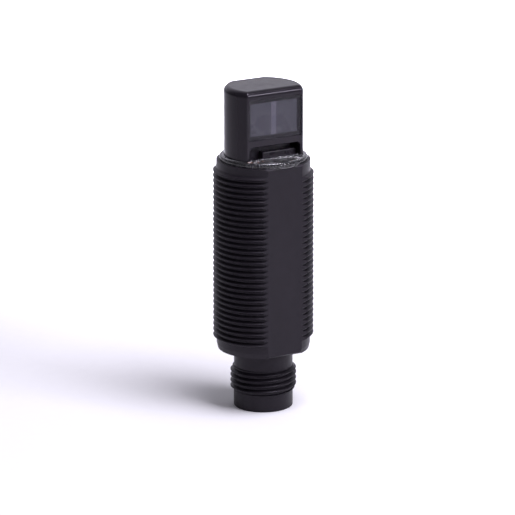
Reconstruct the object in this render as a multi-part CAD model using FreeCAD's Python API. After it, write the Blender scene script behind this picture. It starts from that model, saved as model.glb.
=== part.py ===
import FreeCAD, Part
import os
from math import ceil, cos, floor, pi, radians, sin, sqrt, tan

from FreeCAD import Vector

# Photoelectric sensor with an M18 x 1 threaded barrel, a right-angle optical
# head and an M12 x 1 plug. Millimetres. The origin is on the barrel's axis at
# the plug's end, +Z points to the head and -Y is the way the optics look.

# ---------------------------------------------------------------- driving sizes
# Plug
plug_crest_radius = 5.83
plug_thread_depth = 0.61
plug_thread_length = 4.5
plug_pitch = 1.0
plug_thread_phase = 0.165
spigot_length = 3.0
spigot_proud = 0.02
neck_length = 3.3
neck_inset = 0.02
plug_wall = 0.92
plug_mouth_chamfer = 0.3
plug_edge_round = 0.2
plug_flange_thickness = 1.0
gasket_thickness = 0.5
key_width = 1.0
key_height = 0.45
key_setback = 0.8

# Contacts
pin_radius = 0.5
pin_circle_radius = 2.5
pin_setback = 1.4
pin_count = 4
socket_depth = 8.4
insert_flange_thickness = 0.7
insert_flange_width = 0.9
pin_tail_length = 1.6
wire_radius = 0.35

# Barrel
barrel_length = 34.25
crest_radius = 8.85
thread_depth = 0.6
barrel_pitch = 1.0
ridge_lead_in = 2.105
ridge_lead_out = 1.55
flat_half = 7.5
barrel_wall = 1.05
flat_wall = 1.0
floor_thickness = 1.5
end_taper_length = 0.9
end_taper_depth = 0.2
flat_end_chamfer = 0.3
rib_depth = 0.9
rib_thickness = 0.7

# Light ring
rim_wall = 0.51
ledge_width = 0.77
ring_stand = 0.87
ring_seat_depth = 0.15
ring_skirt_depth = 1.55
ring_edge_round = 0.45
flute_radius = 0.3
flute_pitch = 1.0
flute_count = 9
flute_cover = 0.3

# Head cover
head_front = 4.08
rear_step = 1.37
head_height = 12.28
head_edge_round = 1.0
head_corner_round = 0.3
head_wall = 1.0
head_top_wall = 1.2
skirt_inset = 0.6
skirt_length = 3.1
skirt_wall = 0.8
snap_height = 0.5
snap_reach = 0.35
snap_root = 0.4
snap_width = 4.0
notch_side_margin = 0.596
notch_height = 2.29
notch_corner = 0.7
notch_edge_round = 0.2

# Window and lenses
pane_side_margin = 0.296
pane_lift = 3.53
pane_top_margin = 1.5
pane_thickness = 0.5
pane_recess = 0.05
aperture_side_margin = 0.63
aperture_low_margin = 0.66
aperture_top_margin = 0.78
divider_half_width = 0.48
divider_depth = 2.9
lens_plate_thickness = 1.0
lens_bulge = 0.6
lens_step = 0.3

# Optics carrier
carrier_side_gap = 0.09
carrier_low_side_gap = 0.95
carrier_step_lift = 0.3
tongue_height = 0.98
tongue_setback = 1.33
tongue_depth = 1.25
tongue_side_gap = 0.08
tongue_edge = 0.2
notch_hole_width = 3.3
funnel_exit_half = 1.1

# Boards and parts on them
board_thickness = 0.8
optics_board_front = 0.8
optics_board_side_gap = 0.65
optics_board_top_gap = 0.4
main_board_edge_gap = 0.35
main_board_tail_gap = 2.0
led_board_drop = 1.5
led_inset_x = 4.3
led_front_gap = 1.02
led_half_width = 0.8
led_half_depth = 0.4
led_base_height = 0.3
led_lamp_half_width = 0.5
led_lamp_gap = 0.1
flex_thickness = 0.2
flex_width = 5.0
flex_low_lap = 3.0
flex_high_lap = 2.2
flex_bend_drop = 0.3
emitter_half = 0.8
emitter_height = 0.5
emitter_dome_radius = 0.5
photodiode_half = 0.9
photodiode_height = 0.6
photodiode_pane_half = 0.55
photodiode_pane_height = 0.08
shield_left = 0.9
shield_right = 4.3
shield_lift = 1.6
shield_height = 2.6
shield_depth = 1.5
shield_wall = 0.2
controller_half = 2.5
controller_thickness = 0.95
controller_stand = 0.15
controller_pad_half = 1.5
controller_lift = 3.0
lead_count = 6
lead_pitch = 0.8
lead_reach = 3.3
lead_half_width = 0.15
lead_thickness = 0.35
transistor_offset = 2.4
transistor_half_width = 1.5
transistor_height = 2.2
transistor_thickness = 1.3
transistor_lift = 2.2
transistor_tab_half_width = 0.8
transistor_tab_height = 0.7
transistor_tab_thickness = 0.5
ceramic_half_height = 1.0
ceramic_x = -3.6
ceramic_offsets = (5.0, 0.5, -4.0)
tantalum_half_height = 1.7
tantalum_x = 2.8
tantalum_offsets = (3.0, -4.0)
capacitor_width_share = 0.75
capacitor_depth_share = 1.3
wire_rise = 0.8
wire_lap_start = 0.6
wire_lap_end = 1.9
wire_bend = 0.5

# Sensitivity adjuster
adjuster_radius = 2.1
adjuster_depth = 0.9
adjuster_recess = 0.08
adjuster_shaft_radius = 1.2
adjuster_slot_width = 0.6
adjuster_slot_depth = 0.5
adjuster_pointer_outer = 0.25
adjuster_pointer_inner = 0.75
adjuster_pointer_half_width = 0.6
adjuster_pointer_depth = 0.25
mark_depth = 0.15
mark_spread = 1.35
mark_drop = 0.75
mark_half_bar = 0.12
mark_half_arm = 0.38
trimmer_half_width = 2.6
trimmer_gap = 0.93
trimmer_floor = 0.6
seal_wall = 0.6
seal_height = 0.6

# Named clearances
slide_gap = 0.02
seat_gap = 0.05
running_gap = 0.05

# How far a cutter runs past the face that it cuts, and a joined piece runs in
overrun = 1.0
bite = 0.1

# ------------------------------------------------------------- derived heights
neck_base = spigot_length + plug_thread_length
barrel_base = neck_base + neck_length
barrel_top = barrel_base + barrel_length
floor_top = barrel_base + floor_thickness
ring_top = barrel_top + ring_stand
seat_floor = barrel_top - ring_seat_depth
ring_skirt_end = seat_floor - ring_skirt_depth
head_top = ring_top + head_height
ceiling = head_top - head_top_wall
notch_top = ring_top + notch_height

# ------------------------------------------------------- derived cross-sections
plug_root_radius = plug_crest_radius - plug_thread_depth
spigot_radius = plug_root_radius + spigot_proud
neck_radius = plug_root_radius - neck_inset
plug_bore_radius = plug_root_radius - plug_wall
insert_flange_radius = plug_bore_radius + insert_flange_width
root_radius = crest_radius - thread_depth
ring_radius = root_radius - rim_wall - slide_gap
head_radius = ring_radius - ledge_width
head_rear = flat_half - rear_step
bore_radius = root_radius - barrel_wall
bore_flat = flat_half - flat_wall
skirt_radius = head_radius - skirt_inset
skirt_front = head_front - skirt_inset
skirt_rear = head_rear - skirt_inset
skirt_bore_radius = skirt_radius - skirt_wall
skirt_bore_front = skirt_front - skirt_wall
skirt_bore_rear = skirt_rear - skirt_wall
cavity_radius = head_radius - head_wall
cavity_front = head_front - head_wall
cavity_rear = head_rear - head_wall
face_half_width = sqrt(head_radius**2 - head_front**2)
cavity_face_half_width = sqrt(cavity_radius**2 - cavity_front**2)
notch_half_width = face_half_width - notch_side_margin
tongue_left = notch_hole_width - notch_half_width
tongue_right = notch_half_width - tongue_side_gap
tongue_front = head_front - tongue_setback
carrier_low_front = tongue_front - tongue_depth
carrier_half_width = cavity_face_half_width - carrier_side_gap
carrier_low_half_width = skirt_bore_radius - carrier_low_side_gap
carrier_step = notch_top + carrier_step_lift
optics_board_half_width = skirt_bore_radius - optics_board_side_gap
optics_board_back = optics_board_front + board_thickness
optics_board_low = ring_skirt_end
optics_board_high = ceiling - optics_board_top_gap
main_board_half_width = bore_radius - main_board_edge_gap
led_inset_y = skirt_front + led_front_gap
trimmer_back = cavity_rear - trimmer_gap

# ---------------------------------------------------------------- window places
pane_half_width = face_half_width - pane_side_margin
pane_low = ring_top + pane_lift
pane_high = head_top - pane_top_margin
pane_back = head_front - pane_thickness - pane_recess
aperture_half = pane_half_width - aperture_side_margin
aperture_low = pane_low + aperture_low_margin
aperture_high = pane_high - aperture_top_margin
optics_height = (aperture_low + aperture_high) / 2
lens_front = pane_back - slide_gap
lens_back = lens_front - lens_plate_thickness
lens_inner = divider_half_width + slide_gap
lens_outer = aperture_half - slide_gap
lens_low = aperture_low + slide_gap
lens_high = aperture_high - slide_gap
lens_centre_x = (lens_inner + lens_outer) / 2

# ------------------------------------------------------ heights inside the barrel
gasket_top = floor_top + gasket_thickness
flange_top = gasket_top + plug_flange_thickness
insert_flange_top = flange_top + insert_flange_thickness
tail_top = insert_flange_top + pin_tail_length
main_board_low = tail_top + main_board_tail_gap
led_board_low = ring_skirt_end - led_board_drop
main_board_high = led_board_low
led_board_top = led_board_low + board_thickness

AXIS = Vector(0, 0, 1)
CENTRE = Vector(0, 0, 0)


# -------------------------------------------------------------- shape functions
def box(x, y, z):
    """Block between the low and high value of each of x, y and z."""
    size = [high - low for low, high in (x, y, z)]
    return Part.makeBox(*size, Vector(x[0], y[0], z[0]))


def about(middle, half):
    """Low and high value of a span about its middle."""
    return (middle - half, middle + half)


def outward(side, inner, outer):
    """Low and high value of a span on the negative (-1) or positive (1) side."""
    return (inner, outer) if side > 0 else (-outer, -inner)


def rod(radius, low, high, x=0.0, y=0.0):
    """Upright cylinder between two heights."""
    return Part.makeCylinder(radius, high - low, Vector(x, y, low))


def rod_y(radius, y_low, y_high, x, z):
    """Cylinder along Y between two depths."""
    return Part.makeCylinder(radius, y_high - y_low, Vector(x, y_low, z), Vector(0, 1, 0))


def cone(low_radius, high_radius, low, high):
    """Upright cone frustum between two heights."""
    return Part.makeCone(low_radius, high_radius, high - low, Vector(0, 0, low))


def d_prism(radius, front, rear, low, high):
    """Upright prism on a circle cut by a flat at y = -front and one at y = rear."""
    front_x = sqrt(radius**2 - front**2)
    rear_x = sqrt(radius**2 - rear**2)
    front_left = Vector(-front_x, -front, low)
    front_right = Vector(front_x, -front, low)
    rear_right = Vector(rear_x, rear, low)
    rear_left = Vector(-rear_x, rear, low)
    outline = Part.Wire([
        Part.LineSegment(front_left, front_right).toShape(),
        Part.Arc(front_right, Vector(radius, 0, low), rear_right).toShape(),
        Part.LineSegment(rear_right, rear_left).toShape(),
        Part.Arc(rear_left, Vector(-radius, 0, low), front_left).toShape(),
    ])
    return Part.Face(outline).extrude(AXIS * (high - low))


def turned(points):
    """Solid of revolution about Z from (radius, height) points of a closed outline."""
    corners = [Vector(radius, 0, height) for radius, height in points]
    face = Part.Face(Part.makePolygon(corners + corners[:1]))
    return face.revolve(CENTRE, AXIS, 360)


def strip(points, thickness, x_low, x_high):
    """Thin bent strip: a line of (y, z) points, thickened and run along X."""
    front = [Vector(x_low, y, z) for y, z in points]
    back = [Vector(x_low, y + thickness, z) for y, z in reversed(points)]
    face = Part.Face(Part.makePolygon(front + back + front[:1]))
    return face.extrude(Vector(x_high - x_low, 0, 0))


def frustum_y(front, front_half, rear, rear_half, x, z):
    """Straight-sided funnel along Y between two upright rectangles."""
    def rectangle(y, half):
        half_x, half_z = half
        corners = [(-half_x, -half_z), (half_x, -half_z), (half_x, half_z), (-half_x, half_z)]
        points = [Vector(x + dx, y, z + dz) for dx, dz in corners]
        return Part.makePolygon(points + points[:1])
    return Part.makeLoft([rectangle(front, front_half), rectangle(rear, rear_half)], True, True)


def edges_where(shape, wanted):
    """Edges whose every vertex passes a test."""
    return [edge for edge in shape.Edges if all(wanted(vertex.Point) for vertex in edge.Vertexes)]


def upright(edge):
    """True for a straight edge along Z."""
    start, end = edge.Vertexes[0].Point, edge.Vertexes[-1].Point
    return abs(start.x - end.x) < 1e-6 and abs(start.y - end.y) < 1e-6


def bent_tube(points, radius, bend):
    """Round tube along straight runs joined by tangent arcs."""
    edges = []
    start = points[0]
    for before, corner, after in zip(points, points[1:], points[2:]):
        inward = (before - corner).normalize()
        outward = (after - corner).normalize()
        half_turn = inward.getAngle(outward) / 2
        setback = bend / tan(half_turn)
        arc_start = corner + inward * setback
        arc_end = corner + outward * setback
        bisector = (inward + outward).normalize()
        middle = corner + bisector * (bend / sin(half_turn) - bend)
        edges.append(Part.LineSegment(start, arc_start).toShape())
        edges.append(Part.Arc(arc_start, middle, arc_end).toShape())
        start = arc_end
    edges.append(Part.LineSegment(start, points[-1]).toShape())
    section = Part.Wire(Part.makeCircle(radius, points[0], points[1] - points[0]))
    return Part.Wire(edges).makePipeShell([section], True, True)


def helix_edge(radius, height, pitch, start, end):
    """Right-hand helix from one angle to another, at a height above the plain helix."""
    degrees_per_step = 15
    steps = max(2, ceil((end - start) / degrees_per_step))
    angles = [radians(start + (end - start) * step / steps) for step in range(steps + 1)]
    rise = pitch / (2 * pi)
    points = [Vector(radius * cos(angle), radius * sin(angle), height + rise * angle) for angle in angles]
    ends = (angles[0], angles[-1])
    first, last = [Vector(-radius * sin(angle), radius * cos(angle), rise) for angle in ends]
    curve = Part.BSplineCurve()
    curve.interpolate(Points=points, InitialTangent=first, FinalTangent=last)
    return curve.toShape()


def ridge(root, crest, pitch, start, end):
    """Thread ridge between two angles, with a bevelled crest, sunk a little into its core."""
    sunk = 0.15
    bevel = 0.09
    crest_half = 0.05 * pitch
    shoulder_half = 0.14 * pitch
    root_half = 0.39 * pitch
    slope = (root_half - shoulder_half) / (crest - bevel - root)
    half_section = [
        (root - sunk, root_half + slope * sunk), (crest - bevel, shoulder_half), (crest, crest_half)
    ]
    section = half_section + [(radius, -half) for radius, half in reversed(half_section)]
    helices = [helix_edge(radius, half, pitch, start, end) for radius, half in section]
    faces = [Part.makeRuledSurface(one, other) for one, other in zip(helices, helices[1:] + helices[:1])]
    for vertex_index in (0, -1):
        corners = [helix.Vertexes[vertex_index].Point for helix in helices]
        faces.append(Part.Face(Part.makePolygon(corners + corners[:1])))
    shell = Part.makeShell(faces)
    shell.sewShape()
    solid = Part.Solid(shell)
    if solid.Volume < 0:
        solid.reverse()
    return solid


# ------------------------------------------------------------------ barrel group
def barrel_ridges():
    """The M18 thread as arcs that stop at the two flats, half a turn each."""
    reach_angle = 80
    arc = ridge(root_radius, crest_radius, barrel_pitch, -reach_angle, reach_angle)
    reach = 2 * crest_radius
    between_flats = box((-reach, reach), (-flat_half, flat_half), (-reach, reach))
    arc = arc.common(between_flats).Solids[0]
    threaded = barrel_length - ridge_lead_in - ridge_lead_out
    half_turns = 2 * floor(threaded / barrel_pitch - 0.5) + 1
    first = barrel_base + ridge_lead_in + barrel_pitch / 4
    arcs = []
    for index in range(half_turns):
        copy = arc.copy()
        copy.rotate(CENTRE, AXIS, 180 * (index + 1))
        copy.translate(AXIS * (first + index * barrel_pitch / 2))
        arcs.append(copy)
    return arcs


def barrel_core():
    """Plain barrel at the thread's root, tapered at its low end, with chamfered flats."""
    core = d_prism(root_radius, flat_half, flat_half, barrel_base, barrel_top)
    taper = cone(root_radius - end_taper_depth, root_radius, barrel_base, barrel_base + end_taper_length)
    body = rod(root_radius, barrel_base + end_taper_length, barrel_top)
    core = core.common(taper.fuse(body))
    for side in (-1, 1):
        core = core.cut(flat_end_wedge(side, barrel_base, 1))
        core = core.cut(flat_end_wedge(side, barrel_top, -1))
    return core


def flat_end_wedge(side, height, direction):
    """Wedge that chamfers one end of one flat at 45 degrees."""
    outside = side * (flat_half + overrun)
    corner = side * (flat_half - flat_end_chamfer)
    reach = flat_end_chamfer + overrun
    points = [
        Vector(-root_radius, corner, height),
        Vector(-root_radius, outside, height),
        Vector(-root_radius, outside, height + direction * reach),
    ]
    return Part.Face(Part.makePolygon(points + points[:1])).extrude(Vector(2 * root_radius, 0, 0))


def board_ribs():
    """Two pairs of ribs inside the bore that hold the main board's edges, clear of the insert."""
    relief = rod(insert_flange_radius + seat_gap, flange_top, insert_flange_top + seat_gap)
    ribs = []
    for side in (-1, 1):
        width = outward(side, bore_radius - rib_depth, bore_radius + barrel_wall / 2)
        for face in (-1, 1):
            depth = outward(face, board_thickness / 2, board_thickness / 2 + rib_thickness)
            ribs.append(box(width, depth, (flange_top, led_board_low)).cut(relief))
    return ribs


def make_barrel():
    bore = d_prism(bore_radius, bore_flat, bore_flat, floor_top, barrel_top + overrun)
    seat = rod(ring_radius + slide_gap, seat_floor, barrel_top + overrun)
    neck_hole = rod(neck_radius + seat_gap, barrel_base - overrun, floor_top + overrun)
    body = barrel_core().multiFuse(barrel_ridges())
    body = body.cut(bore).cut(seat).cut(neck_hole)
    return body.multiFuse(board_ribs())


def make_light_ring():
    """Clear ring with a skirt that hangs in the barrel's bore round the head's skirt."""
    rim = rod(ring_radius, seat_floor, ring_top)
    corner = edges_where(rim, lambda point: point.z > ring_top - 1e-6)
    rim = rim.makeFillet(ring_edge_round, corner)
    skirt = d_prism(
        bore_radius - seat_gap, bore_flat - seat_gap, bore_flat - seat_gap, ring_skirt_end, seat_floor
    )
    hole = d_prism(
        skirt_radius + seat_gap, skirt_front + seat_gap, skirt_rear + seat_gap,
        ring_skirt_end - overrun, ring_top + overrun,
    )
    ring = rim.fuse(skirt).cut(hole)
    for index in range(flute_count):
        x = (index - (flute_count - 1) / 2) * flute_pitch
        low, high = ring_skirt_end - overrun, ring_top - flute_cover
        ring = ring.cut(rod(flute_radius, low, high, x, -skirt_front - seat_gap))
    return ring


# -------------------------------------------------------------------- head group
def head_shell():
    """Outer form of the head with rounded corners and top edge, on its narrower skirt."""
    form = d_prism(head_radius, head_front, head_rear, ring_top, head_top)
    corners = [edge for edge in form.Edges if upright(edge)]
    form = form.makeFillet(head_corner_round, corners)
    rim = edges_where(form, lambda point: point.z > head_top - 1e-6)
    form = form.makeFillet(head_edge_round, rim)
    skirt = d_prism(skirt_radius, skirt_front, skirt_rear, ring_top - skirt_length, ring_top)
    return form.fuse(skirt)


def head_cavity():
    """Room inside the head, narrower where the skirt passes through the ring."""
    wide = d_prism(cavity_radius, cavity_front, cavity_rear, ring_top + head_wall, ceiling)
    narrow = d_prism(
        skirt_bore_radius, skirt_bore_front, skirt_bore_rear,
        ring_top - skirt_length - overrun, ring_top + head_wall,
    )
    return wide.fuse(narrow)


def notch_cutter():
    """Cut-out low on the head's front wall, with rounded upper corners."""
    depth = (-head_front - overrun, -cavity_front + overrun)
    low = ring_top - skirt_length - overrun
    block = box(about(0, notch_half_width), depth, (low, notch_top))
    corners = edges_where(block, lambda point: point.z > notch_top - 1e-6)
    corners = [edge for edge in corners if abs(edge.Vertexes[0].X - edge.Vertexes[-1].X) < 1e-6]
    return block.makeFillet(notch_corner, corners)


def window_cutters():
    """Rebate for the pane and the aperture behind it."""
    rebate = box(
        about(0, pane_half_width), (-head_front - overrun, -pane_back), (pane_low, pane_high)
    )
    aperture = box(
        about(0, aperture_half), (-pane_back - bite, -cavity_front + bite), (aperture_low, aperture_high)
    )
    return rebate.fuse(aperture)


def adjuster_marks():
    """Shallow minus and plus marks either side of the adjuster."""
    y = (head_rear - mark_depth, head_rear + overrun)
    height = optics_height - adjuster_radius - mark_drop
    minus = box(about(mark_spread, mark_half_arm), y, about(height, mark_half_bar))
    plus = box(about(-mark_spread, mark_half_arm), y, about(height, mark_half_bar))
    stem = box(about(-mark_spread, mark_half_bar), y, about(height, mark_half_arm))
    return [minus, plus, stem]


def snap_lugs():
    """Two lugs on the skirt that catch under the ring."""
    top = ring_skirt_end - seat_gap
    lugs = []
    for side in (-1, 1):
        width = outward(side, skirt_radius - snap_root, skirt_radius + snap_reach)
        lugs.append(box(width, about(0, snap_width / 2), (top - snap_height, top)))
    return lugs


def on_notch_mouth(point):
    """True on the rim of the cut-out in the head's front face."""
    on_face = abs(point.y + head_front) < 1e-6
    return on_face and abs(point.x) < notch_half_width + 1e-6 and point.z < notch_top + 1e-6


def make_head_cover():
    shell = head_shell().cut(head_cavity()).cut(notch_cutter())
    shell = shell.makeFillet(notch_edge_round, edges_where(shell, on_notch_mouth))
    shell = shell.cut(window_cutters())
    hole = rod_y(
        adjuster_radius + running_gap, cavity_rear - overrun, head_rear + overrun, 0, optics_height
    )
    shell = shell.cut(hole)
    for mark in adjuster_marks():
        shell = shell.cut(mark)
    return shell.multiFuse(snap_lugs())


def make_front_window():
    return box(
        about(0, pane_half_width - slide_gap),
        (-head_front + pane_recess, -pane_back),
        (pane_low + slide_gap, pane_high - slide_gap),
    )


def make_lens(side):
    """Lens with a flat front plate and a convex back, on the left (-1) or right (1)."""
    x = outward(side, lens_inner, lens_outer)
    plate = box(x, (-lens_front, -lens_back), (lens_low, lens_high))
    inset = lens_step + lens_bulge / 2
    inner = outward(side, lens_inner + inset, lens_outer - inset)
    column = box(
        inner, (-lens_back - bite, -lens_back + lens_bulge), (lens_low + inset, lens_high - inset)
    )
    half_width = (lens_outer - lens_inner) / 2 - inset
    half_height = (lens_high - lens_low) / 2 - inset
    ball_radius = (half_width**2 + half_height**2 + lens_bulge**2) / (2 * lens_bulge)
    ball_centre = Vector(side * lens_centre_x, -lens_back + lens_bulge - ball_radius, optics_height)
    ball = Part.makeSphere(ball_radius, ball_centre)
    return plate.fuse(column.common(ball))


def make_lens_divider():
    return box(
        about(0, divider_half_width),
        (-lens_front, -lens_front + divider_depth),
        (lens_low, lens_high),
    )


def carrier_funnel(side):
    """Seat and tapered light tunnel behind one lens."""
    x = side * lens_centre_x
    lens_half = (lens_outer - lens_inner) / 2
    lens_half_height = (lens_high - lens_low) / 2
    seat = box(
        about(x, lens_half + slide_gap), (-cavity_front - bite, -lens_back),
        (lens_low - slide_gap, lens_high + slide_gap),
    )
    mouth = (lens_half - lens_step, lens_half_height - lens_step)
    exit_half = (funnel_exit_half, funnel_exit_half)
    funnel = frustum_y(-lens_back, mouth, optics_board_front, exit_half, x, optics_height)
    return seat.fuse(funnel)


def make_optics_carrier():
    """Black carrier that holds the lenses in front of the optics board."""
    upper = box(
        about(0, carrier_half_width), (-cavity_front, optics_board_front), (carrier_step, ceiling)
    )
    lower = box(
        about(0, carrier_low_half_width), (-carrier_low_front, optics_board_front),
        (ring_skirt_end, carrier_step),
    )
    tongue = box(
        (tongue_left, tongue_right), (-tongue_front, -carrier_low_front),
        (ring_skirt_end, ring_top + tongue_height),
    )
    tongue_top = ring_top + tongue_height
    top_edge = edges_where(
        tongue, lambda point: point.z > tongue_top - 1e-6 and point.y < -tongue_front + 1e-6
    )
    tongue = tongue.makeFillet(tongue_edge, top_edge)
    slot = box(
        about(0, divider_half_width + slide_gap),
        (-cavity_front - bite, -lens_front + divider_depth),
        (lens_low - slide_gap, lens_high + slide_gap),
    )
    carrier = upper.fuse(lower).fuse(tongue)
    carrier = carrier.common(head_cavity().fuse(notch_cutter()))
    return carrier.cut(carrier_funnel(-1)).cut(carrier_funnel(1)).cut(slot)


# --------------------------------------------------------------- optics board group
def make_optics_board():
    return box(
        about(0, optics_board_half_width),
        (optics_board_front, optics_board_back),
        (optics_board_low, optics_board_high),
    )


def make_emitter_led():
    """Square light chip with a small dome, on the board behind the left lens."""
    x = -lens_centre_x
    top = optics_board_front - emitter_height
    base = box(about(x, emitter_half), (top, optics_board_front), about(optics_height, emitter_half))
    dome = Part.makeSphere(emitter_dome_radius, Vector(x, top, optics_height))
    return base.fuse(dome)


def make_receiver_photodiode():
    """Flat photodiode behind the right lens."""
    x = lens_centre_x
    top = optics_board_front - photodiode_height
    base = box(
        about(x, photodiode_half), (top, optics_board_front), about(optics_height, photodiode_half)
    )
    pane = box(
        about(x, photodiode_pane_half), (top - photodiode_pane_height, top),
        about(optics_height, photodiode_pane_half),
    )
    return base.fuse(pane)


def make_receiver_shield():
    """Tin can over the receiver's amplifier, low on the back of the optics board."""
    low = ring_top + shield_lift
    high = low + shield_height
    back = optics_board_back + shield_depth
    can = box((shield_left, shield_right), (optics_board_back, back), (low, high))
    inside = box(
        (shield_left + shield_wall, shield_right - shield_wall),
        (optics_board_back - overrun, back - shield_wall),
        (low + shield_wall, high - shield_wall),
    )
    return can.cut(inside)


# ------------------------------------------------------------------ adjuster group
def make_trimmer_body():
    """Potentiometer housing on the back of the optics board, bored for the rotor."""
    half = trimmer_half_width
    body = box(about(0, half), (optics_board_back, trimmer_back), about(optics_height, half))
    floor_y = optics_board_back + trimmer_floor
    bore = rod_y(adjuster_shaft_radius + running_gap, floor_y, trimmer_back + overrun, 0, optics_height)
    return body.cut(bore)


def make_sensitivity_adjuster():
    """Slotted rotor: head in the cover's rear wall, shaft in the trimmer housing."""
    outer = head_rear - adjuster_recess
    inner = outer - adjuster_depth
    shaft_end = optics_board_back + trimmer_floor + 2 * running_gap
    head = rod_y(adjuster_radius, inner, outer, 0, optics_height)
    shaft = rod_y(adjuster_shaft_radius, shaft_end, inner, 0, optics_height)
    slot = box(
        about(0, adjuster_radius), (outer - adjuster_slot_depth, outer + overrun),
        about(optics_height, adjuster_slot_width / 2),
    )
    pointer = box(
        (adjuster_radius - adjuster_pointer_inner, adjuster_radius - adjuster_pointer_outer),
        (outer - adjuster_pointer_depth, outer + overrun),
        about(optics_height, adjuster_pointer_half_width),
    )
    return head.fuse(shaft).cut(slot).cut(pointer)


def make_adjuster_seal():
    """Rubber ring round the rotor's shaft, pressed on the trimmer housing."""
    outer = head_rear - adjuster_recess - adjuster_depth
    ring_back = min(outer - running_gap, trimmer_back + seal_height)
    bore_radius_here = adjuster_shaft_radius + running_gap
    bush = rod_y(bore_radius_here + seal_wall, trimmer_back, ring_back, 0, optics_height)
    bore = rod_y(bore_radius_here, trimmer_back - overrun, ring_back + overrun, 0, optics_height)
    return bush.cut(bore)


# ------------------------------------------------------------- barrel's electronics
def make_main_board():
    return box(
        about(0, main_board_half_width), about(0, board_thickness / 2), (main_board_low, main_board_high)
    )


def make_controller_chip():
    """Square chip with a row of leads down each side."""
    face = -board_thickness / 2
    under = face - controller_stand
    middle = (main_board_low + main_board_high) / 2 + controller_lift
    body = box(
        about(0, controller_half), (under - controller_thickness, under), about(middle, controller_half)
    )
    pad = box(about(0, controller_pad_half), (under, face), about(middle, controller_pad_half))
    chip = body.fuse(pad)
    for index in range(lead_count):
        height = middle + (index - (lead_count - 1) / 2) * lead_pitch
        lead = box(about(0, lead_reach), (face - lead_thickness, face), about(height, lead_half_width))
        chip = chip.fuse(lead)
    return chip


def make_output_transistors():
    """Two power transistors low on the front of the main board."""
    face = -board_thickness / 2
    low = main_board_low + transistor_lift
    high = low + transistor_height
    parts = []
    for x in (-transistor_offset, transistor_offset):
        body = box(about(x, transistor_half_width), (face - transistor_thickness, face), (low, high))
        tab = box(
            about(x, transistor_tab_half_width), (face - transistor_tab_thickness, face),
            (high, high + transistor_tab_height),
        )
        parts.append(body.fuse(tab))
    return Part.makeCompound(parts)


def make_capacitors():
    """Three ceramic blocks and two tantalum blocks on the rear of the main board."""
    face = board_thickness / 2
    middle = (main_board_low + main_board_high) / 2
    places = [(ceramic_x, offset, ceramic_half_height) for offset in ceramic_offsets]
    places += [(tantalum_x, offset, tantalum_half_height) for offset in tantalum_offsets]
    blocks = []
    for x, offset, half in places:
        depth = (face, face + capacitor_depth_share * half)
        blocks.append(box(about(x, capacitor_width_share * half), depth, about(middle + offset, half)))
    return Part.makeCompound(blocks)


def make_board_link_flex():
    """Flexible strip that joins the main board to the optics board, on their rear faces."""
    face = board_thickness / 2
    path = [
        (face, main_board_high - flex_low_lap),
        (face, main_board_high),
        (optics_board_back, optics_board_low - flex_bend_drop),
        (optics_board_back, optics_board_low + flex_high_lap),
    ]
    return strip(path, flex_thickness, -flex_width / 2, flex_width / 2)


def make_led_board():
    """Small level board across the front half of the bore, under the ring's skirt."""
    plate = d_prism(
        bore_radius - seat_gap, bore_flat - seat_gap, bore_flat - seat_gap, led_board_low, led_board_top
    )
    reach = bore_radius + overrun
    heights = (led_board_low - overrun, led_board_top + overrun)
    return plate.cut(box(about(0, reach), (-board_thickness / 2, reach), heights))


def make_status_led(side):
    """Light chip under the ring, on the left (-1) or right (1)."""
    x = side * led_inset_x
    depth = about(-led_inset_y, led_half_depth)
    base_top = led_board_top + led_base_height
    base = box(about(x, led_half_width), depth, (led_board_top, base_top))
    lamp = box(about(x, led_lamp_half_width), depth, (base_top, ring_skirt_end - led_lamp_gap))
    return base.fuse(lamp)


# ---------------------------------------------------------------------- plug group
def plug_ridge():
    """The M12 thread, faded out by a cone at each end."""
    first = spigot_length - plug_pitch + plug_thread_phase
    spare_turns = 1.5
    turns = plug_thread_length / plug_pitch + spare_turns
    thread = ridge(plug_root_radius, plug_crest_radius, plug_pitch, 0, 360 * turns)
    thread.translate(AXIS * first)
    fade = plug_thread_depth
    buried = plug_root_radius - plug_wall / 2
    beyond = plug_crest_radius + bite
    envelope = turned([
        (buried, spigot_length), (plug_root_radius, spigot_length),
        (beyond, spigot_length + fade), (beyond, neck_base - fade),
        (plug_root_radius, neck_base), (buried, neck_base),
    ])
    return thread.common(envelope)


def make_plug_shell():
    """Hollow threaded plug: spigot, thread, neck and an inner flange keyed to the bore."""
    spigot = rod(spigot_radius, 0, spigot_length)
    spigot = spigot.makeFillet(plug_edge_round, edges_where(spigot, lambda point: point.z < 1e-6))
    thread_core = rod(plug_root_radius, spigot_length, neck_base)
    neck = rod(neck_radius, neck_base, gasket_top)
    flange = d_prism(
        bore_radius - seat_gap, bore_flat - seat_gap, bore_flat - seat_gap, gasket_top, flange_top
    )
    body = thread_core.fuse(plug_ridge()).fuse(spigot).fuse(neck).fuse(flange)
    bore = rod(plug_bore_radius, -overrun, flange_top + overrun)
    mouth_radius = plug_bore_radius + plug_mouth_chamfer + overrun
    mouth = cone(mouth_radius, plug_bore_radius, -overrun, plug_mouth_chamfer)
    key = box(
        about(0, key_width / 2), (-plug_bore_radius - plug_wall / 2, -plug_bore_radius + key_height),
        (key_setback, socket_depth),
    )
    return body.cut(bore).cut(mouth).fuse(key)


def make_plug_gasket():
    """Flat rubber gasket between the plug's flange and the barrel's floor."""
    disc = d_prism(
        bore_radius - seat_gap, bore_flat - seat_gap, bore_flat - seat_gap, floor_top, gasket_top
    )
    return disc.cut(rod(neck_radius + slide_gap, floor_top - overrun, gasket_top + overrun))


def pin_places():
    """Centres of the contacts on their circle, clear of the key."""
    step = 2 * pi / pin_count
    angles = [(index + 0.5) * step for index in range(pin_count)]
    return [(pin_circle_radius * cos(angle), pin_circle_radius * sin(angle)) for angle in angles]


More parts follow.
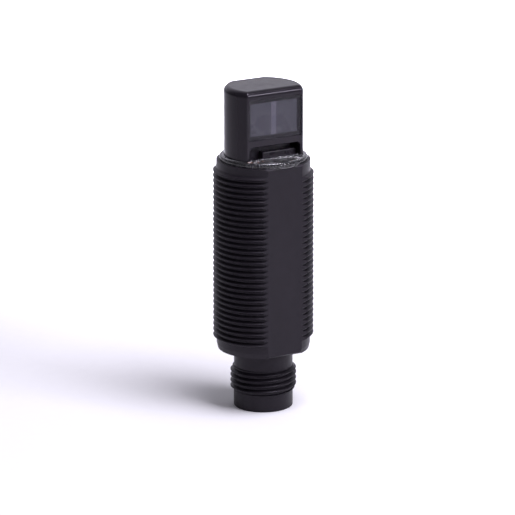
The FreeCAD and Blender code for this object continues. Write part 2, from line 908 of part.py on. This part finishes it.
def make_contact_insert():
    """Insulator that carries the contacts and closes the plug from inside."""
    core = rod(plug_bore_radius - slide_gap, socket_depth, flange_top)
    flange = rod(insert_flange_radius, flange_top, insert_flange_top)
    insert = core.fuse(flange)
    for x, y in pin_places():
        insert = insert.cut(rod(pin_radius, socket_depth - overrun, insert_flange_top + overrun, x, y))
    return insert


def make_contact_pins():
    """Four round-nosed contacts."""
    nose_height = pin_setback + pin_radius
    pins = []
    for x, y in pin_places():
        nose = Part.makeSphere(pin_radius, Vector(x, y, nose_height))
        pins.append(rod(pin_radius, nose_height, tail_top, x, y).fuse(nose))
    return Part.makeCompound(pins)


def make_lead_wires():
    """Four short wires from the contacts' tails to the faces of the main board."""
    wires = []
    for x, y in pin_places():
        side = 1 if y > 0 else -1
        board_y = side * (board_thickness / 2 + wire_radius)
        points = [
            Vector(x, y, tail_top),
            Vector(x, y, tail_top + wire_rise),
            Vector(x, board_y, main_board_low + wire_lap_start),
            Vector(x, board_y, main_board_low + wire_lap_end),
        ]
        wires.append(bent_tube(points, wire_radius, wire_bend))
    return Part.makeCompound(wires)


# --------------------------------------------------------------------------- output
def all_nodes():
    """Every piece of the sensor by name."""
    return {
        "barrel": make_barrel(),
        "light_ring": make_light_ring(),
        "head_cover": make_head_cover(),
        "front_window": make_front_window(),
        "lens_emitter": make_lens(-1),
        "lens_receiver": make_lens(1),
        "lens_divider": make_lens_divider(),
        "optics_carrier": make_optics_carrier(),
        "optics_board": make_optics_board(),
        "emitter_led": make_emitter_led(),
        "receiver_photodiode": make_receiver_photodiode(),
        "receiver_shield": make_receiver_shield(),
        "trimmer_body": make_trimmer_body(),
        "sensitivity_adjuster": make_sensitivity_adjuster(),
        "adjuster_seal": make_adjuster_seal(),
        "main_board": make_main_board(),
        "controller_chip": make_controller_chip(),
        "output_transistors": make_output_transistors(),
        "capacitors": make_capacitors(),
        "board_link_flex": make_board_link_flex(),
        "led_board": make_led_board(),
        "output_led": make_status_led(-1),
        "power_led": make_status_led(1),
        "plug_shell": make_plug_shell(),
        "plug_gasket": make_plug_gasket(),
        "contact_insert": make_contact_insert(),
        "contact_pins": make_contact_pins(),
        "lead_wires": make_lead_wires(),
    }


os.makedirs("parts", exist_ok=True)
for name, shape in all_nodes().items():
    if not shape.isValid():
        raise ValueError(name + " is not a valid shape")
    shape.exportStep("parts/" + name + ".step")
    print(name, len(shape.Solids), round(shape.Volume, 2))
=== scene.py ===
from math import cos, radians, sin

import bpy
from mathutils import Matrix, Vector

# Photoelectric sensor: moulded black body, smoked window over two lenses, clear light ring.
# Metres, in the CAD model's own frame.

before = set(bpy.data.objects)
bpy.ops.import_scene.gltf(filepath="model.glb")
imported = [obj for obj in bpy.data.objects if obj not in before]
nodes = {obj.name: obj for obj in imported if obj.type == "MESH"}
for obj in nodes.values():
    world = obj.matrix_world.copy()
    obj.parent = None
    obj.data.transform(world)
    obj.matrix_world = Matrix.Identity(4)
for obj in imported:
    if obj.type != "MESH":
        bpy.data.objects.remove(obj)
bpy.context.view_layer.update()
scene = bpy.context.scene

# ------------------------------------------------------------------ camera
VIEW_AZIMUTH = radians(-30.5)
VIEW_ELEVATION = radians(15.97)
VIEW_DISTANCE = 0.65
LENS_MM = 258.6
AIM_HEIGHT = 0.02839
AIM_RIGHT = -0.001019
AIM_UP = -0.0013475
CLIP_NEAR = 0.05
CLIP_FAR = 20

# ------------------------------------------------------------------- light
# A place is metres from the frame's origin: to the camera's right, away from the camera, and up.
# Power is in watts.
LIGHT_TINT = (1.0, 0.97, 1.10)
LIGHT_AIM = (0, 0, 0.02)
FULL_BEAM = radians(180)
KEY_PLACE = (0.12, -0.09, 0.42)
KEY_SIZE = (0.22, 0.22)
KEY_POWER = 1.7
FLOOR_LIGHT_PLACE = (0.02, 0.33, 0.34)
FLOOR_LIGHT_SIZE = (0.06, 0.34)
FLOOR_LIGHT_POWER = 1.05
FLOOR_LIGHT_BEAM = radians(50)
RIGHT_BOX_PLACE = (0.29, -0.165, 0.195)
RIGHT_BOX_SIZE = (0.16, 0.06)
RIGHT_BOX_POWER = 0.52

# Room light: dim all round, with a bright wall behind the sensor that fades out sideways.
ROOM_STRENGTH = 0.15
WALL_STRENGTH = 0.74
WALL_ELEVATION = radians(20)
WALL_BRIGHT_WITHIN = radians(25)
WALL_DARK_BEYOND = radians(65)

# ------------------------------------------------------------------- floor
FLOOR_HALF = 3.0
FLOOR_GRAIN = 0.002
FLOOR_GREY = (0.90, 0.90, 0.90, 1)
FLOOR_PALE = (0.93, 0.93, 0.93, 1)
FLOOR_ROUGHNESS = 0.9
FLOOR_SPECULAR = 0.1

# --------------------------------- sizes and depths of surface texture, in metres
FLOW_SIZE = 0.005
FLOW_STRETCH = (1, 1, 0.35)
RUB_SIZE = 0.0016
SPARK_SIZE = 0.00016
SPARK_DEPTH = 0.0000022
HEAD_SPARK_DEPTH = 0.0000004
SEAL_GRAIN_SIZE = 0.0003
SEAL_GRAIN_DEPTH = 0.000006
CHIP_GRAIN_SIZE = 0.0002
CHIP_GRAIN_DEPTH = 0.000004
SWIRL_SIZE = 0.0022
SWIRL_DEPTH = 0.00001
PANE_HAZE_SIZE = 0.0018
PANE_HAZE_DEPTH = 0.0000008
LENS_HAZE_SIZE = 0.0025
LENS_LINE_DEPTH = 0.0000008
WEAVE_SIZE = 0.0006
TRACK_DEPTH = 0.000012
DRAWN_SIZE = 0.0004
DRAWN_STRETCH = (1, 1, 0.08)
DRAWN_DEPTH = 0.000002
CLOUD_SIZE = 0.0005
SCUFF_SIZE = 0.0008
SCUFF_DEPTH = 0.000006

# Scales of the textures for moulding lines and for copper tracks
LENS_LINE_SCALE = 900.0
TRACK_SCALE = 420.0

# ------------------------------------------------------------------- gloss
# How far a moulding's roughness wanders to either side of its own
RUB_RANGE = 0.05

# Lowest and highest roughness
PANE_ROUGHNESS = (0.10, 0.16)
LENS_ROUGHNESS = (0.22, 0.34)
BOARD_ROUGHNESS = (0.22, 0.36)
LAMP_ROUGHNESS = (0.12, 0.26)
LEAD_ROUGHNESS = (0.32, 0.5)

# ------------------------------------------------- clear and smoked plastic
CLEAR_PLASTIC_IOR = 1.52
CLEARNESS = 0.98
PANE_COVER = 0.3

# ----------------------------------------------------------------- colours
WHITE = (1.0, 1.0, 1.0, 1.0)
BLACK_PLASTIC = (0.0090, 0.0076, 0.0104, 1)
VIOLET_GLOSS = (0.97, 0.90, 1.0, 1)
PANE_DARK = (0.030, 0.029, 0.036, 1)
PANE_LIGHT = (0.040, 0.038, 0.047, 1)
MASK_DARK = (0.008, 0.010, 0.010, 1)
MASK_LIGHT = (0.010, 0.013, 0.012, 1)
TRACK_EDGE = (0.024, 0.026, 0.024, 1)
BROWN_LEAD = (0.10, 0.035, 0.015, 1)
BLUE_LEAD = (0.02, 0.05, 0.25, 1)
WHITE_LEAD = (0.60, 0.60, 0.58, 1)
BLACK_LEAD = (0.012, 0.012, 0.013, 1)


def make_camera():
    """Long lens, a little above the sensor and round to its left."""
    back = Vector((sin(VIEW_AZIMUTH) * cos(VIEW_ELEVATION),
                   -cos(VIEW_AZIMUTH) * cos(VIEW_ELEVATION),
                   sin(VIEW_ELEVATION)))
    right = Vector((cos(VIEW_AZIMUTH), sin(VIEW_AZIMUTH), 0))
    up = back.cross(right)
    aim = Vector((0, 0, AIM_HEIGHT)) + right * AIM_RIGHT + up * AIM_UP
    data = bpy.data.cameras.new("camera")
    data.lens = LENS_MM
    data.clip_start = CLIP_NEAR
    data.clip_end = CLIP_FAR
    camera = bpy.data.objects.new("camera", data)
    camera.location = aim + back * VIEW_DISTANCE
    camera.rotation_euler = back.to_track_quat("Z", "Y").to_euler()
    scene.collection.objects.link(camera)
    scene.camera = camera
    return right


# ------------------------------------------------------------ node-tree helpers
# Numbers of a mix node's sockets when it mixes colours
MIX_SHARE, MIX_ONE, MIX_OTHER = 0, 6, 7
MIX_RESULT = 2


def add(tree, kind, sockets=None, **settings):
    """New node with settings, and with sockets set to a value or linked from another socket."""
    made = tree.nodes.new(kind)
    for name, value in settings.items():
        setattr(made, name, value)
    for name, value in (sockets or {}).items():
        if isinstance(value, bpy.types.NodeSocket):
            tree.links.new(value, made.inputs[name])
        else:
            made.inputs[name].default_value = value
    return made


def new_tree(name):
    """Empty material: its tree, its shader and the object's own coordinates."""
    material = bpy.data.materials.new(name)
    material.use_nodes = True
    tree = material.node_tree
    tree.nodes.clear()
    shader = tree.nodes.new("ShaderNodeBsdfPrincipled")
    output = tree.nodes.new("ShaderNodeOutputMaterial")
    tree.links.new(shader.outputs["BSDF"], output.inputs["Surface"])
    place = tree.nodes.new("ShaderNodeTexCoord").outputs["Object"]
    return material, tree, shader, place


def noise(tree, place, size, detail=3.0, stretch=(1, 1, 1)):
    """Noise whose blotches are about size metres wide, longer along an axis with a small stretch."""
    mapped = add(tree, "ShaderNodeMapping", {"Vector": place, "Scale": stretch})
    sockets = {"Vector": mapped.outputs["Vector"], "Scale": 1 / size, "Detail": detail}
    return add(tree, "ShaderNodeTexNoise", sockets).outputs["Fac"]


def spread(tree, value, low, high, dark=0.3, light=0.7):
    """Value between dark and light, mapped to the range low to high."""
    made = add(tree, "ShaderNodeMapRange", {
        "Value": value, "From Min": dark, "From Max": light, "To Min": low, "To Max": high,
    })
    return made.outputs["Result"]


def blend_colours(tree, share, one, other):
    """Colour between two others; each input is a value or another socket."""
    inputs = {MIX_SHARE: share, MIX_ONE: one, MIX_OTHER: other}
    return add(tree, "ShaderNodeMix", inputs, data_type="RGBA").outputs[MIX_RESULT]


def rough_surface(tree, shader, height, depth):
    """Bump of a real depth in metres."""
    bump = add(tree, "ShaderNodeBump", {"Height": height, "Distance": depth, "Strength": 1.0})
    tree.links.new(bump.outputs["Normal"], shader.inputs["Normal"])


def shade(colour, share):
    """Opaque colour scaled darker or lighter."""
    return tuple(channel * share for channel in colour[:3]) + (1.0,)


# ------------------------------------------------------------------- materials
def moulded(
    name, colour, roughness=0.42, specular=0.30, grain=SPARK_SIZE, depth=SPARK_DEPTH, tint=WHITE
):
    """Moulded plastic: fine spark texture, faint flow marks and uneven gloss."""
    material, tree, shader, place = new_tree(name)
    flow = noise(tree, place, FLOW_SIZE, detail=4, stretch=FLOW_STRETCH)
    rub = noise(tree, place, RUB_SIZE, detail=5)
    spark = noise(tree, place, grain, detail=2)
    streaks = spread(tree, flow, 0, 1)
    colours = blend_colours(tree, streaks, shade(colour, 0.88), shade(colour, 1.12))
    tree.links.new(colours, shader.inputs["Base Color"])
    gloss = spread(tree, rub, roughness - RUB_RANGE, roughness + RUB_RANGE)
    tree.links.new(gloss, shader.inputs["Roughness"])
    shader.inputs["Specular IOR Level"].default_value = specular
    shader.inputs["Specular Tint"].default_value = tint
    rough_surface(tree, shader, spark, depth)
    return material


def clear_plastic(name, colour, roughness=0.04):
    """Clear moulded plastic with faint swirls and a little milkiness."""
    material, tree, shader, place = new_tree(name)
    swirl = noise(tree, place, SWIRL_SIZE, detail=4)
    colours = blend_colours(tree, swirl, colour, shade(colour, 0.93))
    tree.links.new(colours, shader.inputs["Base Color"])
    tree.links.new(spread(tree, swirl, roughness, roughness * 2), shader.inputs["Roughness"])
    shader.inputs["Transmission Weight"].default_value = CLEARNESS
    shader.inputs["IOR"].default_value = CLEAR_PLASTIC_IOR
    rough_surface(tree, shader, swirl, SWIRL_DEPTH)
    return material


def smoked_pane(name):
    """Thin smoked pane: what lies behind it shows through a dark gloss."""
    material, tree, shader, place = new_tree(name)
    haze = noise(tree, place, PANE_HAZE_SIZE, detail=4)
    tree.links.new(blend_colours(tree, haze, PANE_DARK, PANE_LIGHT), shader.inputs["Base Color"])
    tree.links.new(spread(tree, haze, *PANE_ROUGHNESS), shader.inputs["Roughness"])
    shader.inputs["Alpha"].default_value = PANE_COVER
    shader.inputs["Specular IOR Level"].default_value = 0.5
    rough_surface(tree, shader, haze, PANE_HAZE_DEPTH)
    return material


def frosted_lens(name, colour):
    """Lens that looks pale and even behind the pane, with the faint lines of its mould."""
    material, tree, shader, place = new_tree(name)
    haze = noise(tree, place, LENS_HAZE_SIZE)
    sockets = {"Vector": place, "Scale": LENS_LINE_SCALE, "Distortion": 0.4}
    lines = add(tree, "ShaderNodeTexWave", sockets, bands_direction="Z")
    colours = blend_colours(tree, haze, shade(colour, 0.95), shade(colour, 1.05))
    tree.links.new(colours, shader.inputs["Base Color"])
    tree.links.new(spread(tree, haze, *LENS_ROUGHNESS), shader.inputs["Roughness"])
    rough_surface(tree, shader, lines.outputs["Fac"], LENS_LINE_DEPTH)
    return material


def circuit_board(name):
    """Black solder mask over a fine pattern of copper tracks."""
    material, tree, shader, place = new_tree(name)
    tracks = add(tree, "ShaderNodeTexBrick", {
        "Vector": place, "Scale": TRACK_SCALE,
        "Mortar Size": 0.06, "Brick Width": 0.9, "Row Height": 0.35,
        "Color1": MASK_DARK, "Color2": MASK_LIGHT, "Mortar": TRACK_EDGE,
    })
    weave = noise(tree, place, WEAVE_SIZE)
    tree.links.new(tracks.outputs["Color"], shader.inputs["Base Color"])
    tree.links.new(spread(tree, weave, *BOARD_ROUGHNESS), shader.inputs["Roughness"])
    rough_surface(tree, shader, tracks.outputs["Fac"], TRACK_DEPTH)
    return material


def bare_metal(name, colour, roughness=0.24):
    """Plated metal with fine drawing marks along its length."""
    material, tree, shader, place = new_tree(name)
    marks = noise(tree, place, DRAWN_SIZE, detail=4, stretch=DRAWN_STRETCH)
    tree.links.new(blend_colours(tree, marks, shade(colour, 0.86), colour), shader.inputs["Base Color"])
    tree.links.new(spread(tree, marks, roughness - 0.07, roughness + 0.09), shader.inputs["Roughness"])
    shader.inputs["Metallic"].default_value = 1.0
    rough_surface(tree, shader, marks, DRAWN_DEPTH)
    return material


def lamp(name, colour, strength):
    """Light chip under clear resin, its glow uneven in soft blotches."""
    material, tree, shader, place = new_tree(name)
    cloud = noise(tree, place, CLOUD_SIZE, detail=2)
    tree.links.new(blend_colours(tree, cloud, shade(colour, 0.7), colour), shader.inputs["Base Color"])
    tree.links.new(spread(tree, cloud, *LAMP_ROUGHNESS), shader.inputs["Roughness"])
    glow = spread(tree, cloud, 0.8 * strength, 1.2 * strength)
    tree.links.new(glow, shader.inputs["Emission Strength"])
    shader.inputs["Emission Color"].default_value = colour
    return material


def above_zero(tree, value):
    """One where a value is above zero, and nought elsewhere."""
    return add(tree, "ShaderNodeMath", {0: value, 1: 0.0}, operation="GREATER_THAN").outputs[0]


def wire_sheath(name):
    """Four lead colours, one for each quarter of the plug."""
    material, tree, shader, place = new_tree(name)
    axes = add(tree, "ShaderNodeSeparateXYZ", {"Vector": place})
    on_right = above_zero(tree, axes.outputs["X"])
    at_rear = above_zero(tree, axes.outputs["Y"])
    front_pair = blend_colours(tree, on_right, BROWN_LEAD, BLUE_LEAD)
    rear_pair = blend_colours(tree, on_right, WHITE_LEAD, BLACK_LEAD)
    scuff = noise(tree, place, SCUFF_SIZE)
    tree.links.new(blend_colours(tree, at_rear, front_pair, rear_pair), shader.inputs["Base Color"])
    tree.links.new(spread(tree, scuff, *LEAD_ROUGHNESS), shader.inputs["Roughness"])
    rough_surface(tree, shader, scuff, SCUFF_DEPTH)
    return material


def make_finishes():
    """One finish for each material slot of the record."""
    black, violet = BLACK_PLASTIC, VIOLET_GLOSS
    return {
        "housing": moulded("finish_housing", black, specular=0.26, tint=violet),
        "head_housing": moulded(
            "finish_head", black, roughness=0.19, specular=0.28, depth=HEAD_SPARK_DEPTH, tint=violet
        ),
        "plug_housing": moulded("finish_plug", black, specular=0.23, tint=violet),
        # The carrier is the body's black plastic painted three times lighter: painted light standing in
        # for light that reaches into the notch.
        "carrier": moulded("finish_carrier_painted_light", shade(black, 3.0), roughness=0.30),
        "clear_ring": clear_plastic("finish_clear_ring", (0.80, 0.80, 0.83, 1)),
        "smoked_pane": smoked_pane("finish_pane"),
        "lens": frosted_lens("finish_lens", (0.115, 0.110, 0.150, 1)),
        "divider": frosted_lens("finish_divider", (0.27, 0.256, 0.35, 1)),
        "board": circuit_board("finish_board"),
        "emitter_chip": lamp("finish_emitter", (0.35, 0.06, 0.05, 1), 0.3),
        "photodiode": moulded(
            "finish_photodiode", (0.010, 0.012, 0.030, 1), roughness=0.14, specular=0.6
        ),
        "tin": bare_metal("finish_tin", (0.62, 0.62, 0.60, 1), 0.3),
        "trimmer": moulded("finish_trimmer", (0.02, 0.07, 0.22, 1), roughness=0.36),
        "adjuster": moulded("finish_adjuster", (0.50, 0.20, 0.03, 1), roughness=0.34, specular=0.5),
        "seal": moulded(
            "finish_seal", (0.012, 0.012, 0.012, 1), roughness=0.7,
            grain=SEAL_GRAIN_SIZE, depth=SEAL_GRAIN_DEPTH,
        ),
        "chip": moulded(
            "finish_chip", (0.014, 0.014, 0.015, 1), roughness=0.5,
            grain=CHIP_GRAIN_SIZE, depth=CHIP_GRAIN_DEPTH,
        ),
        "capacitor": moulded("finish_capacitor", (0.33, 0.20, 0.09, 1), roughness=0.4),
        "flex": clear_plastic("finish_flex", (0.75, 0.30, 0.05, 1), 0.2),
        "amber_light": lamp("finish_amber", (0.75, 0.22, 0.05, 1), 0.35),
        "green_light": lamp("finish_green", (0.22, 0.30, 0.24, 1), 0.0),
        "insert": moulded("finish_insert", (0.016, 0.016, 0.018, 1), roughness=0.45),
        "contact": bare_metal("finish_contact", (0.83, 0.58, 0.22, 1), 0.2),
        "wire": wire_sheath("finish_wire"),
    }


def dress(finishes):
    """Each CAD node takes the finish of its record slot."""
    for node in nodes.values():
        for slot in node.material_slots:
            slot.material = finishes[slot.material.name.split(".")[0]]


# ---------------------------------------------------------------- floor and light
def make_floor():
    """Wide white floor with a faint paper grain."""
    mesh = bpy.data.meshes.new("floor")
    corners = [(FLOOR_HALF * x, FLOOR_HALF * y, 0) for x, y in ((-1, -1), (1, -1), (1, 1), (-1, 1))]
    mesh.from_pydata(corners, [], [(0, 1, 2, 3)])
    floor = bpy.data.objects.new("floor", mesh)
    scene.collection.objects.link(floor)
    material, tree, shader, place = new_tree("finish_floor")
    grain = noise(tree, place, FLOOR_GRAIN)
    tree.links.new(blend_colours(tree, grain, FLOOR_GREY, FLOOR_PALE), shader.inputs["Base Color"])
    shader.inputs["Roughness"].default_value = FLOOR_ROUGHNESS
    shader.inputs["Specular IOR Level"].default_value = FLOOR_SPECULAR
    mesh.materials.append(material)


def make_softbox(name, place, size, power, target=LIGHT_AIM, beam=FULL_BEAM):
    """Rectangular soft light, its light kept inside a beam.

    It is aimed at its target, or, straight above it, points down and is turned to the camera.
    """
    data = bpy.data.lights.new(name, "AREA")
    data.shape = "RECTANGLE"
    data.size, data.size_y = size
    data.energy = power
    data.color = LIGHT_TINT
    data.spread = beam
    light = bpy.data.objects.new(name, data)
    light.location = place
    back = place - Vector(target)
    if back.xy.length > 0:
        light.rotation_euler = back.to_track_quat("Z", "Y").to_euler()
    else:
        light.rotation_euler = (0, 0, VIEW_AZIMUTH)
    scene.collection.objects.link(light)


def make_world(forward):
    """Dim room with a wide bright wall behind the sensor."""
    world = bpy.data.worlds.new("studio")
    scene.world = world
    world.use_nodes = True
    tree = world.node_tree
    tree.nodes.clear()
    direction = tree.nodes.new("ShaderNodeTexCoord").outputs["Generated"]
    wall = forward * cos(WALL_ELEVATION) + Vector((0, 0, sin(WALL_ELEVATION)))
    facing = add(tree, "ShaderNodeVectorMath", {0: direction, 1: wall}, operation="DOT_PRODUCT")
    strength = spread(
        tree, facing.outputs["Value"], ROOM_STRENGTH, WALL_STRENGTH,
        cos(WALL_DARK_BEYOND), cos(WALL_BRIGHT_WITHIN),
    )
    background = add(tree, "ShaderNodeBackground", {"Color": (*LIGHT_TINT, 1.0), "Strength": strength})
    output = tree.nodes.new("ShaderNodeOutputWorld")
    tree.links.new(background.outputs["Background"], output.inputs["Surface"])


def light_point(place, right, forward):
    """Point in the frame of a light's place."""
    across, ahead, height = place
    return right * across + forward * ahead + Vector((0, 0, height))


def make_lights(right, forward):
    """Soft key light above and to the right, one over the floor behind, and a low one at the right."""
    key_point = light_point(KEY_PLACE, right, forward)
    make_softbox("key", key_point, KEY_SIZE, KEY_POWER)
    above = light_point(FLOOR_LIGHT_PLACE, right, forward)
    below = (above.x, above.y, 0)
    make_softbox("floor_light", above, FLOOR_LIGHT_SIZE, FLOOR_LIGHT_POWER, below, FLOOR_LIGHT_BEAM)
    low_point = light_point(RIGHT_BOX_PLACE, right, forward)
    make_softbox("right_box", low_point, RIGHT_BOX_SIZE, RIGHT_BOX_POWER)


scene.view_settings.view_transform = "Standard"
right = make_camera()
forward = Vector((0, 0, 1)).cross(right)
make_world(forward)
make_lights(right, forward)
make_floor()
dress(make_finishes())
